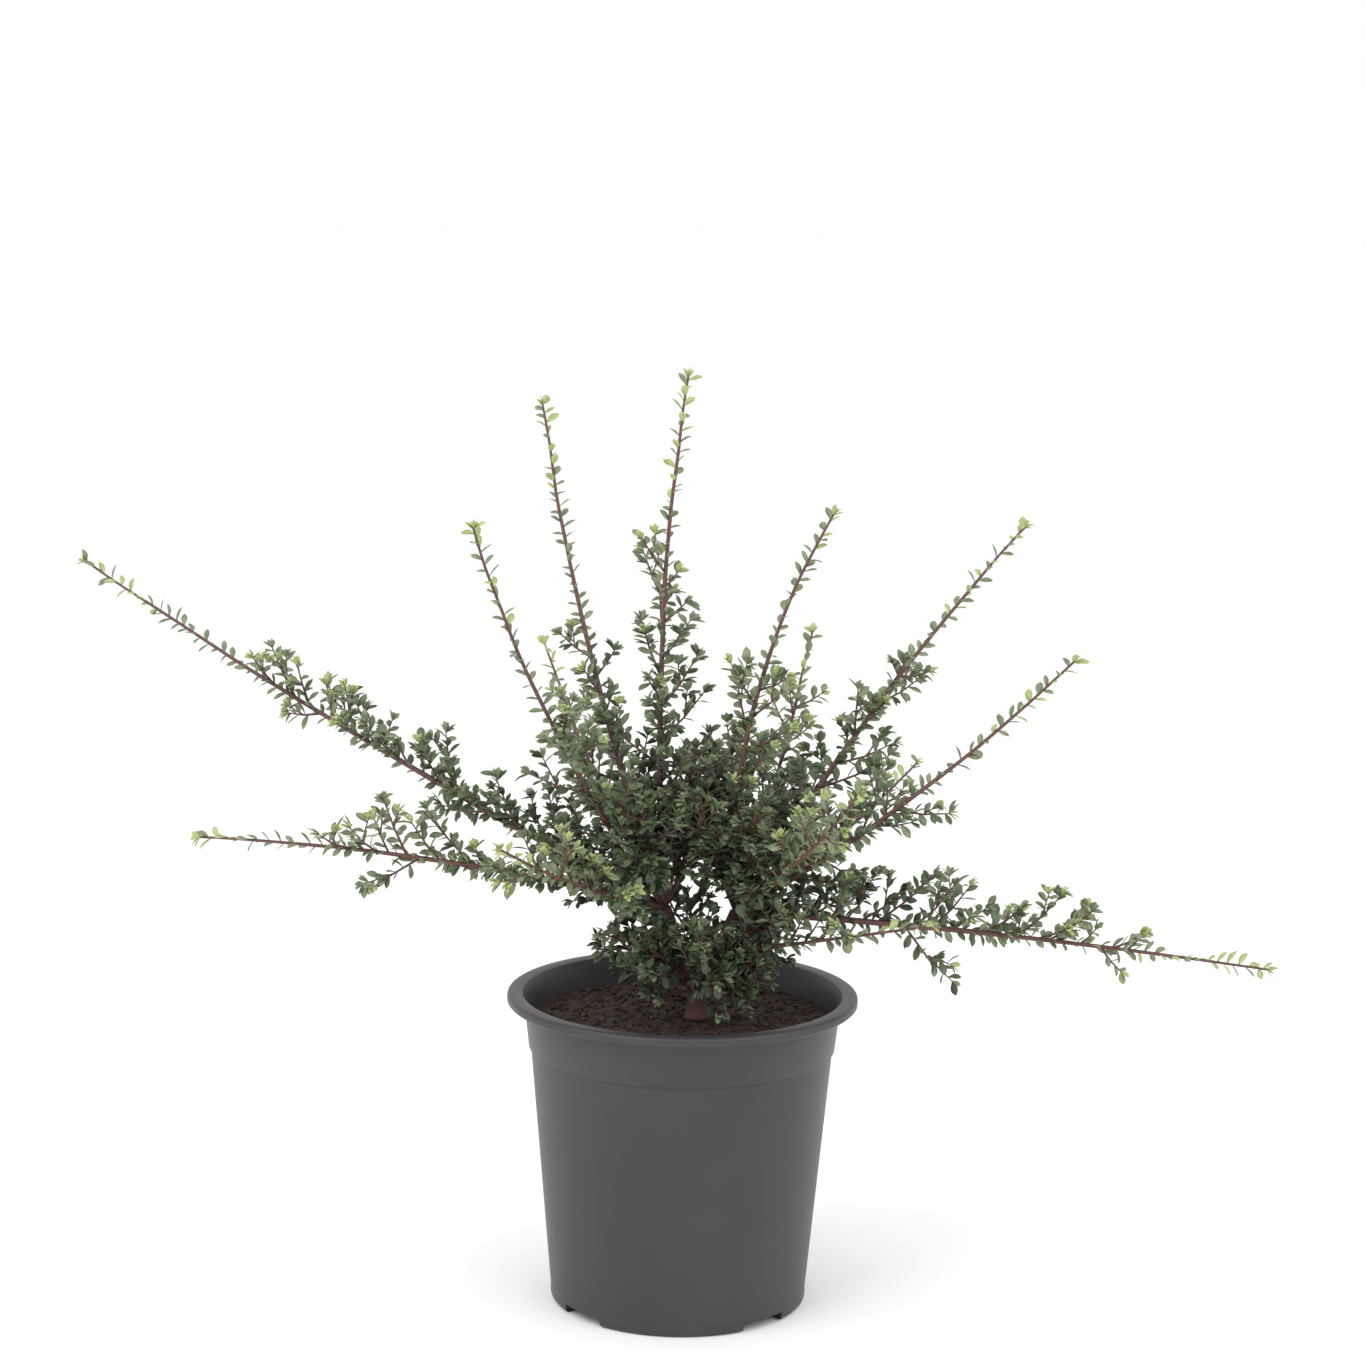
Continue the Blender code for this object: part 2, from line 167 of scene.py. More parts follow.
# The frame brings a plain material of this name, so the limbs show that one and these values aren't seen
BARK = Finish("bark", (0.060, 0.026, 0.022), (0.170, 0.085, 0.070),
              scale=420, relief=0.7, rough=0.6, stretch=(1, 1, 0.35))


def leaf_finish(tint: Tint) -> Finish:
    """Return the finish of a leaf tint."""
    name, dark, light = tint.value
    return Finish(name, dark, light, scale=260, relief=0.15, rough=0.42, specular=0.4)


def mesh_of(name: str, work: bmesh.types.BMesh) -> bpy.types.Mesh:
    """Write a finished bmesh to a new mesh and free it.

    Args:
        name: The mesh's name.
        work: The finished bmesh.

    Returns:
        The new mesh.
    """
    mesh = bpy.data.meshes.new(name)
    work.to_mesh(mesh)
    work.free()
    return mesh


def evaluated_mesh(obj: bpy.types.Object) -> bpy.types.Mesh:
    """Return the object's shape, modifiers included, as a mesh of its own."""
    shown = obj.evaluated_get(bpy.context.evaluated_depsgraph_get())
    return bpy.data.meshes.new_from_object(shown)


def add_object(name: str, data: bpy.types.ID) -> bpy.types.Object:
    """Link a new object to the scene.

    Args:
        name: The object's name.
        data: Its mesh, curve, light or camera.

    Returns:
        The new object.
    """
    obj = bpy.data.objects.new(name, data)
    bpy.context.scene.collection.objects.link(obj)
    return obj


def add_piece(name: str, mesh: bpy.types.Mesh, nodes: tuple[str, ...]) -> bpy.types.Object:
    """Put a mesh in the scene as a piece that rides on the one body.

    Args:
        name: The piece's name.
        mesh: Its mesh, in place.
        nodes: The solids that it stands for.

    Returns:
        The new object.
    """
    obj = add_object(name, mesh)
    if nodes:
        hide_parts(*nodes)
    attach(obj, "root")
    LOG.info("%s: %d faces", name, len(mesh.polygons))
    return obj


def joined_copies(name: str, template: bpy.types.Mesh, places: list[Matrix],
                  slots: list[int]) -> bpy.types.Mesh:
    """Join many placed copies of one small mesh.

    Args:
        name: The new mesh's name.
        template: The small mesh.
        places: One matrix for each copy.
        slots: One material slot for each copy.

    Returns:
        The joined mesh.
    """
    count = len(template.vertices)
    flat = np.empty(count * 3)
    template.vertices.foreach_get("co", flat)
    points = flat.reshape(-1, 3)
    faces = [tuple(poly.vertices) for poly in template.polygons]
    spots = np.array([np.array(place) for place in places])
    moved = points @ spots[:, :3, :3].transpose(0, 2, 1) + spots[:, None, :3, 3]
    corners = [tuple(index + copy * count for index in face)
               for copy in range(len(places)) for face in faces]
    mesh = bpy.data.meshes.new(name)
    mesh.from_pydata(moved.reshape(-1, 3).tolist(), [], corners)
    mesh.polygons.foreach_set("material_index", np.repeat(slots, len(faces)))
    mesh.polygons.foreach_set("use_smooth", [True] * len(corners))
    mesh.update()
    return mesh


@dataclass
class Leaf:
    """One small leathery leaf: widest beyond its middle, folded a little and bent back."""
    length: float = 7.4 * MM
    width: float = 3.6 * MM
    thickness: float = 0.16 * MM
    fold: float = 0.5 * MM
    bend: float = 0.7 * MM
    outward_shift: float = 1.35
    slimness: float = 0.75
    root_share: float = 0.10

    def template(self) -> bpy.types.Mesh:
        """Build the leaf along +Z with its root at the origin.

        Returns:
            The leaf's closed mesh.
        """
        work = bmesh.new()
        bmesh.ops.create_grid(work, x_segments=2, y_segments=5, size=0.5)
        for vert in work.verts:
            along = vert.co.y + 0.5
            outline = 0.0
            if 0 < along < 1:
                outline = math.sin(math.pi * along ** self.outward_shift) ** self.slimness
            across = vert.co.x * 2 * (self.root_share + (1 - self.root_share) * outline)
            lift = self.fold * abs(across) - self.bend * along * along
            vert.co = (across * self.width / 2, lift, along * self.length)
        bmesh.ops.recalc_face_normals(work, faces=work.faces)
        bmesh.ops.solidify(work, geom=work.faces[:], thickness=self.thickness)
        bmesh.ops.recalc_face_normals(work, faces=work.faces)
        return mesh_of("leaf_template", work)


class Role(Enum):
    """What a shoot is for, with the first words of the solids that its pieces stand for."""
    BOUGH = ("foliage_", "bough_")
    TUFT = ("foliage_",)
    HEART = ()


FEWEST_STEPS = 4
TURNS_A_STEP = 8


@dataclass(frozen=True)
class Shoot:
    """A shoot: its fork in millimetres, its headings in degrees, and its sizes.

    The aim is the heading in the front view and the lean is to the front, each at the fork and at the tip.
    Side twigs grow until the share of the length that twigs_until gives.
    """
    name: str
    fork: Place
    aim: Span
    lean: Span
    length: float
    radius: float
    twigs_until: float
    role: Role = Role.BOUGH

    def heading(self, share: float) -> Vector:
        """Work out the direction of growth.

        Args:
            share: The share of the length, 0 at the fork.

        Returns:
            The unit direction.
        """
        aim = math.radians(self.aim[0] + (self.aim[1] - self.aim[0]) * share)
        lean = math.radians(self.lean[0] + (self.lean[1] - self.lean[0]) * share)
        flat = math.cos(lean)
        return Vector((flat * math.cos(aim), -math.sin(lean), flat * math.sin(aim)))

    def line(self, step: float) -> list[Vector]:
        """Walk along the shoot from its fork to its tip.

        Args:
            step: About how far apart the points are.

        Returns:
            The points, evenly spaced.
        """
        turns = max(FEWEST_STEPS, round(self.length / step)) * TURNS_A_STEP
        place = Vector(self.fork) * MM
        points = [place.copy()]
        for turn in range(turns):
            place += self.heading((turn + 0.5) / turns) * self.length / turns
            if turn % TURNS_A_STEP == TURNS_A_STEP - 1:
                points.append(place.copy())
        return points


LEFT_FORK = (-9, 1, 194)
RIGHT_FORK = (25, 3, 192)
LOW_FORK = (17, 2.5, 171)
BASE_FORK = (7, 2, 154)

SHOOTS = (
    Shoot("far_left", LEFT_FORK, (156, 148), (-14, -10), 338 * MM, 2.0 * MM, 0.68),
    Shoot("left_low", LEFT_FORK, (161, 177), (20, 6), 229 * MM, 1.7 * MM, 0.7),
    Shoot("left_front", LEFT_FORK, (123, 107), (32, 10), 229 * MM, 1.5 * MM, 0.5),
    Shoot("centre_left", LEFT_FORK, (112, 99), (-24, -14), 260 * MM, 1.8 * MM, 0.45),
    Shoot("tall_centre", LEFT_FORK, (95, 82), (4, -6), 257 * MM, 1.9 * MM, 0.65),
    Shoot("right_centre", RIGHT_FORK, (96, 61), (22, 0), 211 * MM, 1.7 * MM, 0.6),
    Shoot("right_upper", RIGHT_FORK, (57, 48), (-20, -10), 239 * MM, 1.8 * MM, 0.6),
    Shoot("right_middle", RIGHT_FORK, (35, 47), (20, 8), 210 * MM, 1.6 * MM, 0.35),
    Shoot("far_right", RIGHT_FORK, (-1, -7), (8, 4), 256 * MM, 1.9 * MM, 0.75),
    Shoot("right_thin", LOW_FORK, (18, 14), (34, 20), 116 * MM, 1.1 * MM, 0.6),
    Shoot("front_left", LEFT_FORK, (152, 140), (56, 44), 140 * MM, 1.4 * MM, 0.8),
    Shoot("front_right", RIGHT_FORK, (52, 62), (56, 42), 150 * MM, 1.4 * MM, 0.8),
    Shoot("back_left", LEFT_FORK, (132, 112), (-56, -40), 190 * MM, 1.5 * MM, 0.8),
    Shoot("back_right", RIGHT_FORK, (66, 76), (-58, -40), 190 * MM, 1.5 * MM, 0.8),
    Shoot("back_low", RIGHT_FORK, (20, 38), (-50, -44), 160 * MM, 1.4 * MM, 0.8),
    Shoot("tuft_left", BASE_FORK, (160, 130), (14, 4), 52 * MM, 1.3 * MM, 1.0, Role.TUFT),
    Shoot("tuft_front", BASE_FORK, (95, 80), (62, 30), 52 * MM, 1.3 * MM, 0.9, Role.TUFT),
    Shoot("tuft_right", BASE_FORK, (24, 44), (-4, -16), 52 * MM, 1.3 * MM, 0.9, Role.TUFT),
    Shoot("tuft_back", BASE_FORK, (95, 100), (-58, -24), 54 * MM, 1.3 * MM, 0.9, Role.TUFT),
)

# Short shoots that fill the heart: fork, aim, bow of the aim, lean, and length in millimetres
HEART_WAYS = (
    (LEFT_FORK, 78, 6, 12, 84), (LEFT_FORK, 64, 10, -30, 80), (RIGHT_FORK, 104, -8, -10, 82),
    (RIGHT_FORK, 112, -12, 34, 74), (LEFT_FORK, 104, -4, 44, 76), (RIGHT_FORK, 80, 4, 46, 72),
    (BASE_FORK, 128, 14, 36, 40), (BASE_FORK, 52, -6, 38, 40), (BASE_FORK, 165, -20, -30, 38),
    (BASE_FORK, 15, 20, 30, 40), (LOW_FORK, 40, 10, 40, 38), (BASE_FORK, 90, 0, 74, 34),
    (BASE_FORK, -12, 30, 44, 30), (BASE_FORK, 192, -30, 44, 30), (BASE_FORK, -60, 60, 78, 24),
    (BASE_FORK, 10, 20, -50, 34), (BASE_FORK, 170, -20, -52, 34),
)
HEART_RADIUS = 1.0 * MM
HEART_TWIGS_UNTIL = 0.95
HEART_SHOOTS = tuple(
    Shoot(f"heart_{index}", fork, (aim, aim + bow), (lean, lean / 2), length * MM,
          HEART_RADIUS, HEART_TWIGS_UNTIL, Role.HEART)
    for index, (fork, aim, bow, lean, length) in enumerate(HEART_WAYS))

GRAIN_SCALE = 700
GRAIN_DEPTH_MM = 0.12


def wood_mesh(name: str, limbs: list[Limb], resolution: int) -> bpy.types.Mesh:
    """Make round tapering limbs as one bark mesh with a fine relief.

    Args:
        name: The mesh's name.
        limbs: Points and radii of each limb.
        resolution: The bevel resolution of the limbs.

    Returns:
        The mesh of all limbs.
    """
    curve = bpy.data.curves.new(name, "CURVE")
    curve.dimensions = "3D"
    curve.bevel_depth = 1.0
    curve.bevel_resolution = resolution
    curve.use_fill_caps = True
    for points, radii in limbs:
        spline = curve.splines.new("POLY")
        spline.points.add(len(points) - 1)
        for knot, point, radius in zip(spline.points, points, radii):
            knot.co = (*point, 1)
            knot.radius = radius
    obj = add_object(name, curve)
    mesh = evaluated_mesh(obj)
    bpy.data.objects.remove(obj)
    work = bmesh.new()
    work.from_mesh(mesh)
    bmesh.ops.remove_doubles(work, verts=work.verts, dist=WELD_DISTANCE)
    bmesh.ops.recalc_face_normals(work, faces=work.faces)
    for face in work.faces:
        face.smooth = True
    for vert in work.verts:
        vert.co += vert.normal * noise.noise(vert.co * GRAIN_SCALE) * GRAIN_DEPTH_MM * MM
    work.to_mesh(mesh)
    work.free()
    mesh.materials.clear()
    mesh.materials.append(BARK.material())
    return mesh


TWIG_POINTS = 3


@dataclass(frozen=True)
class Habit:
    """How every spray grows.

    A span is a range for the seeded draws, apart from the two noise scales of the stem's wandering. A lean
    is in degrees and a turn in radians, unless its name says otherwise. A twig or leaf that would reach
    down to the lowest height is left out.
    """
    lowest: float = 142 * MM

    # Stem
    stem_step: float = 9 * MM
    tip_radius: float = 0.55 * MM
    wander_mm: float = 0.8
    wander_scales: Span = (30, 37)
    steps_to_full_wander: int = 6

    # Side twigs
    first_twig: float = 15 * MM
    first_turn: float = 0.6
    twig_spacing: float = 7.5 * MM
    close_twig_spacing: float = 3.2 * MM
    spacing_spread: Span = (0.7, 1.3)
    least_twigs_until: float = 0.5
    twig_turn_degrees: Span = (110, 170)
    twig_lean: Span = (34, 58)
    level_below: float = 0.6
    upper_chance: float = 0.7
    upper_spread: float = 0.8
    twig_length: float = 42 * MM
    length_at_fork: float = 1.15
    length_loss: float = 0.85
    length_spread: Span = (0.35, 1.1)
    twig_lift: float = 0.22
    twig_radii: tuple[float, ...] = (0.62 * MM, 0.5 * MM, 0.28 * MM)

    # Forks of the side twigs
    forks_beyond: float = 17 * MM
    fork_turn: float = 1.6
    fork_lean: Span = (35, 55)
    fork_length: Span = (0.3, 0.55)
    fork_radii: tuple[float, ...] = (0.42 * MM, 0.36 * MM, 0.26 * MM)

    # Leaves
    leaf_spacing: float = 2.7 * MM
    first_leaf_on_stem: float = 16 * MM
    first_leaf_on_twig: float = 3 * MM
    first_leaf_on_fork: float = 2.5 * MM
    leaf_half_turns: Span = (0.7, 1.1)
    leaf_scatter: float = 0.5
    leaf_lean: Span = (38, 70)
    leaf_roll: float = 0.9
    leaf_size: Span = (0.75, 1.1)
    leaf_reach_mm: float = 7
    clusters: tuple[int, ...] = (1, 1, 2, 3)
    clusters_until: float = 0.6

    # Rosettes at the tips
    rosette_leaves: int = 5
    rosette_turn: float = 2.4
    rosette_lean: float = 16
    rosette_lean_step: float = 6
    rosette_size: Span = (0.6, 0.8)
    rosette_inset_mm: float = 1.2

    # Colour, by how far out a leaf grows. The shade value is painted shade: it darkens the tints of the leaves
    # among the tufts and in the heart
    tint_limits: tuple[float, ...] = (0.24, 0.5, 0.93)
    tint_spread: float = 0.16
    shade: float = 0.42
    stem_share: float = 0.15
    twig_share: float = 0.12
    fork_share: float = 0.16
    share_gain: float = 0.8


@dataclass
class Spray:
    """A shoot with its side twigs and leaves, grown by the seeded rule."""
    shoot: Shoot
    seed: int
    leaf: bpy.types.Mesh
    habit: Habit = Habit()
    limbs: list[Limb] = field(default_factory=list)
    places: list[Matrix] = field(default_factory=list)
    slots: list[int] = field(default_factory=list)

    @property
    def light(self) -> float:
        """Return how much light the spray gets, less among the tufts and in the heart."""
        return 1.0 if self.shoot.role is Role.BOUGH else self.habit.shade

    @property
    def twig_spacing(self) -> float:
        """Return how far apart the side twigs are, less on the short shoots."""
        return self.habit.twig_spacing if self.shoot.role is Role.BOUGH else self.habit.close_twig_spacing

    def side_way(self, along: Vector, turn: float, lean: float) -> Vector:
        """Return a direction leaning off another, turned round it from its upper side.

        Args:
            along: The direction that it leaves.
            turn: The turn round that direction, 0 on its upper side.
            lean: The angle between the two.

        Returns:
            The unit direction.
        """
        guide = UP if abs(along.z) < NEARLY_UPRIGHT else FRONT
        side = along.cross(guide).normalized()
        over = side.cross(along).normalized()
        out = over * math.cos(turn) + side * math.sin(turn)
        return (along * math.cos(lean) + out * math.sin(lean)).normalized()

    def add_leaf(self, root: Vector, way: Vector, size: float, tint: int, rng: random.Random) -> None:
        """Place one leaf with its upper face turned to the light.

        Args:
            root: Where the leaf grows.
            way: Its direction.
            size: Its size against a full leaf.
            tint: Its colour's slot.
            rng: The seeded draws.
        """
        if (root + way * self.habit.leaf_reach_mm * MM).z < self.habit.lowest:
            return
        face = UP.cross(way)
        across = face.normalized() if face.length > NEARLY_PARALLEL else RIGHT
        over = way.cross(across).normalized()
        turn = Matrix((across, over, way)).transposed().to_4x4()
        roll = Matrix.Rotation(rng.uniform(-self.habit.leaf_roll, self.habit.leaf_roll), 4, "Z")
        self.places.append(Matrix.Translation(root) @ turn @ roll @ Matrix.Scale(size, 4))
        self.slots.append(tint)

    def dress(self, points: list[Vector], first: float, share: float, rng: random.Random) -> None:
        """Set leaves in small clusters by turns along a stem or twig, and a rosette at its tip.

        Args:
            points: The points of the stem or twig.
            first: The distance of the first leaf.
            share: How far out on the shoot it grows.
            rng: The seeded draws.
        """
        habit = self.habit
        is_twig = len(points) <= TWIG_POINTS
        spans = [(low, high, (high - low).length) for low, high in zip(points, points[1:])]
        whole = sum(span[2] for span in spans)
        distance, turn = first, rng.random() * math.tau
        while distance < whole:
            left = distance
            for low, high, run in spans:
                if left <= run:
                    break
                left -= run
            along = (high - low).normalized()
            root = low + along * min(left, run)
            out = share if is_twig else share + (1 - share) * distance / whole
            tint = self.tint(out, rng)
            for _ in range(rng.choice(habit.clusters) if out < habit.clusters_until else 1):
                lean = math.radians(rng.uniform(*habit.leaf_lean))
                scatter = rng.uniform(-habit.leaf_scatter, habit.leaf_scatter)
                way = self.side_way(along, turn + scatter, lean)
                self.add_leaf(root, way, rng.uniform(*habit.leaf_size), tint, rng)
            turn += math.pi * rng.uniform(*habit.leaf_half_turns)
            distance += habit.leaf_spacing * rng.uniform(*habit.spacing_spread)
        self.add_rosette(points, share, is_twig, rng)

    def add_rosette(self, points: list[Vector], share: float, is_twig: bool, rng: random.Random) -> None:
        """Set the small leaves round the tip of a stem or twig, one tint paler than it.

        Args:
            points: The points of the stem or twig.
            share: How far out on the shoot it grows.
            is_twig: Whether it is a twig. A stem in full light has the palest tint at its tip.
            rng: The seeded draws.
        """
        habit = self.habit
        palest = len(Tint) - 1
        along = (points[-1] - points[-2]).normalized()
        tint = palest
        if is_twig or self.light < 1:
            tint = min(palest, self.tint(share, rng) + 1)
        root = points[-1] - along * habit.rosette_inset_mm * MM
        for step in range(habit.rosette_leaves):
            lean = math.radians(habit.rosette_lean + habit.rosette_lean_step * step)
            way = self.side_way(along, step * habit.rosette_turn, lean)
            self.add_leaf(root, way, rng.uniform(*habit.rosette_size), tint, rng)

    def tint(self, out: float, rng: random.Random) -> int:
        """Return the colour slot for a place on the shoot, paler towards the tip and darker with painted shade
        where the spray gets less light.
        """
        value = out * self.light + rng.uniform(-self.habit.tint_spread, self.habit.tint_spread)
        return bisect_right(self.habit.tint_limits, value)

    def stem_points(self) -> list[Vector]:
        """Walk along the shoot, wandering a little off its line beyond the fork.

        Returns:
            The stem's points.
        """
        habit = self.habit
        across, deep = habit.wander_scales
        points = []
        for index, point in enumerate(self.shoot.line(habit.stem_step)):
            bump = Vector((noise.noise(point * across), noise.noise(point * deep), 0))
            fade = min(1, index / habit.steps_to_full_wander)
            points.append(point + bump * habit.wander_mm * MM * fade)
        return points

    def grow(self) -> None:
        """Grow the stem, its side twigs and every leaf."""
        habit, shoot = self.habit, self.shoot
        rng = random.Random(self.seed)
        points = self.stem_points()
        count = len(points) - 1
        taper = habit.tip_radius - shoot.radius
        self.limbs.append((points, [shoot.radius + taper * index / count for index in range(count + 1)]))
        self.dress(points, habit.first_leaf_on_stem, habit.stem_share, rng)
        distance, turn = habit.first_twig, rng.uniform(-habit.first_turn, habit.first_turn)
        while distance < shoot.length * max(shoot.twigs_until, habit.least_twigs_until):
            share = distance / shoot.length
            slot = min(int(share * count), count - 1)
            low, high = points[slot], points[slot + 1]
            root = low.lerp(high, share * count - slot)
            self.grow_twig(root, (high - low).normalized(), turn, share, rng)
            turn += math.radians(rng.uniform(*habit.twig_turn_degrees)) * rng.choice((-1, 1))
            distance += self.twig_spacing * rng.uniform(*habit.spacing_spread)

    def grow_twig(self, root: Vector, along: Vector, turn: float, share: float, rng: random.Random) -> None:
        """Grow a side twig, mostly on the upper side where the stem lies level.

        Args:
            root: Where it leaves the stem.
            along: The stem's direction there.
            turn: Its turn round the stem, where it isn't drawn to the upper side.
            share: How far out on the shoot it grows.
            rng: The seeded draws.
        """
        habit = self.habit
        is_upper = abs(along.z) < habit.level_below and rng.random() < habit.upper_chance
        around = rng.gauss(0, habit.upper_spread) if is_upper else turn
        way = self.side_way(along, around, math.radians(rng.uniform(*habit.twig_lean)))
        reach = habit.twig_length * (habit.length_at_fork - habit.length_loss * share)
        reach *= rng.uniform(*habit.length_spread)
        middle = root + way * reach * 0.5
        end = middle + (way + UP * habit.twig_lift).normalized() * reach * 0.5
        if end.z <= habit.lowest:
            return
        gained = habit.share_gain * share
        self.limbs.append(([root, middle, end], list(habit.twig_radii)))
        self.dress([root, middle, end], habit.first_leaf_on_twig, habit.twig_share + gained, rng)
        if reach > habit.forks_beyond:
            self.fork_twig(middle, way, reach, habit.fork_share + gained, rng)

    def fork_twig(self, root: Vector, along: Vector, reach: float, share: float, rng: random.Random) -> None:
        """Grow a shorter twig off the side of a twig.

        Args:
            root: Where it leaves the twig.
            along: The twig's direction.
            reach: The twig's length.
            share: How far out on the shoot it grows.
            rng: The seeded draws.
        """
        habit = self.habit
        turn = rng.uniform(-habit.fork_turn, habit.fork_turn)
        way = self.side_way(along, turn, math.radians(rng.uniform(*habit.fork_lean)))
        end = root + way * reach * rng.uniform(*habit.fork_length)
        if end.z > habit.lowest:
            middle = root.lerp(end, 0.5)
            self.limbs.append(([root, middle, end], list(habit.fork_radii)))
            self.dress([root, middle, end], habit.first_leaf_on_fork, share, rng)

    def build(self) -> None:
        """Grow the spray and add its wood and its leaves as two pieces."""
        self.grow()
        name = self.shoot.name
        nodes = tuple(first_word + name for first_word in self.shoot.role.value)
        wood = wood_mesh(name + "_wood", self.limbs, resolution=2)
        add_piece(name + "_wood", wood, nodes)
        leaves = joined_copies(name + "_leaves", self.leaf, self.places, self.slots)
        for tint in Tint:
            leaves.materials.append(leaf_finish(tint).material())
        add_piece(name + "_leaves", leaves, ())


@dataclass
class Trunk:
    """The flared foot and the two legs of the shrub.

    The foot's place, its radii and their rises above that place are in millimetres.
    """
    foot: Place = (7, 2, 139.3)
    foot_rises: tuple[float, ...] = (0, 1.5, 4, 8, 12, 16)
    foot_radii: tuple[float, ...] = (7, 6, 5, 4.6, 4.3, 4.2)
    crotch_height: float = 12 * MM
    leg_sag: float = 2 * MM
    leg_radii: tuple[float, ...] = (3.9 * MM, 3.6 * MM, 3.3 * MM, 3.0 * MM, 2.8 * MM)

    def build(self) -> None:
        """Build the trunk's bark piece."""
        foot = Vector(self.foot) * MM
        limbs = [([foot + UP * rise * MM for rise in self.foot_rises],
                  [radius * MM for radius in self.foot_radii])]
        crotch = foot + UP * self.crotch_height
        for fork in (LEFT_FORK, RIGHT_FORK):
            end = Vector(fork) * MM
            middle = crotch.lerp(end, 0.5) - UP * self.leg_sag
            line = [crotch, crotch.lerp(middle, 0.5), middle, middle.lerp(end, 0.5), end]
            limbs.append((line, list(self.leg_radii)))
        add_piece("trunk_bark", wood_mesh("trunk_bark", limbs, resolution=5), ("trunk",))


QUARTER_ROUND = (0, 0.4, 0.8, 1.2, math.pi / 2)


@dataclass
class Pot:
    """The turned plastic pot with its rolled lip, shoulder and notched foot.

    The mouth's pairs are a radius and a drop from the top, and other pairs are a radius and a height.
    """
    height: float = 152.5 * MM
    rim: float = 85 * MM
    lip: float = 4.5 * MM
    lip_round: float = 1.5 * MM
    lip_edge: float = 0.8 * MM
    mouth: tuple[Span, ...] = ((77 * MM, 1.5 * MM), (77.5 * MM, 0.4 * MM), (78.5 * MM, 0))
    collar: float = 76.8 * MM
    inner_collar: float = 75.4 * MM
    shoulder: tuple[Span, ...] = ((74.3 * MM, 126.2 * MM), (73.9 * MM, 125.6 * MM),
                                  (73.2 * MM, 125.0 * MM))
    inner_shoulder: Span = (71.8 * MM, 125.5 * MM)
    inner_floor: Span = (61.2 * MM, 7 * MM)
    foot_radius: float = 62.5 * MM
    foot_height: float = 6 * MM
    foot_round: float = 2.5 * MM
    steps: int = 144
    sharp_degrees: float = 40
    notches: int = 4
    notch_turn: float = 42.0
    notch_size: Place = (25 * MM, 18 * MM, 9 * MM)

    def profile(self) -> list[Span]:
        """Work out the line from the inner floor over the lip to the axis.

        Returns:
            The line's radii and heights.
        """
        under = self.height - self.lip
        inside = [(0, self.inner_floor[1]), self.inner_floor, self.inner_shoulder, (self.inner_collar, under)]
        mouth = [(radius, self.height - drop) for radius, drop in self.mouth]
        lip = [(self.rim - self.lip_round + self.lip_round * math.sin(turn),
                self.height - self.lip_round + self.lip_round * math.cos(turn)) for turn in QUARTER_ROUND]
        under_lip = [(self.rim, under + self.lip_edge), (self.rim - self.lip_edge, under),
                     (self.collar, under)]
        foot = [(self.foot_radius - self.foot_round + self.foot_round * math.cos(turn),
                 self.foot_round - self.foot_round * math.sin(turn)) for turn in QUARTER_ROUND]
        return [*inside, *mouth, *lip, *under_lip, *self.shoulder, (self.foot_radius, self.foot_height),
                *foot, (0, 0)]

    def build(self) -> None:
        """Spin the pot, cut its notches and add it."""
        work = bmesh.new()
        points = [work.verts.new((radius, 0, height)) for radius, height in self.profile()]
        edges = [work.edges.new(pair) for pair in zip(points, points[1:])]
        bmesh.ops.spin(work, geom=points + edges, axis=(0, 0, 1), cent=(0, 0, 0),
                       angle=math.tau, steps=self.steps, use_merge=True)
        bmesh.ops.remove_doubles(work, verts=work.verts, dist=WELD_DISTANCE)
        bmesh.ops.recalc_face_normals(work, faces=work.faces)
        mesh = mesh_of("pot_shell", work)
        mesh.materials.append(POT_PLASTIC.material())
        pot = add_object("pot_cutting", mesh)
        between = 360 / self.notches
        cutters = [self.notch(pot, math.radians(self.notch_turn + between * turn))
                   for turn in range(self.notches)]
        cut = evaluated_mesh(pot)
        for obj in (pot, *cutters):
            bpy.data.objects.remove(obj)
        cut.shade_smooth()
        cut.set_sharp_from_angle(angle=math.radians(self.sharp_degrees))
        add_piece("pot_shell", cut, ("pot",))

    def notch(self, pot: bpy.types.Object, turn: float) -> bpy.types.Object:
        """Cut one drainage notch in the foot.

        Args:
            pot: The pot being cut.
            turn: The notch's place round the pot, from the front.

        Returns:
            The cutter.
        """
        work = bmesh.new()
        bmesh.ops.create_cube(work, size=1)
        bmesh.ops.scale(work, verts=work.verts, vec=self.notch_size)
        bmesh.ops.rotate(work, verts=work.verts, matrix=Matrix.Rotation(turn, 3, "Z"))
        place = Vector((math.sin(turn), -math.cos(turn), 0)) * self.foot_radius
        bmesh.ops.translate(work, verts=work.verts, vec=place)
        cutter = add_object("notch", mesh_of("notch", work))
        cut = pot.modifiers.new("Notch", "BOOLEAN")
        cut.operation = "DIFFERENCE"
        cut.object = cutter
        return cutter


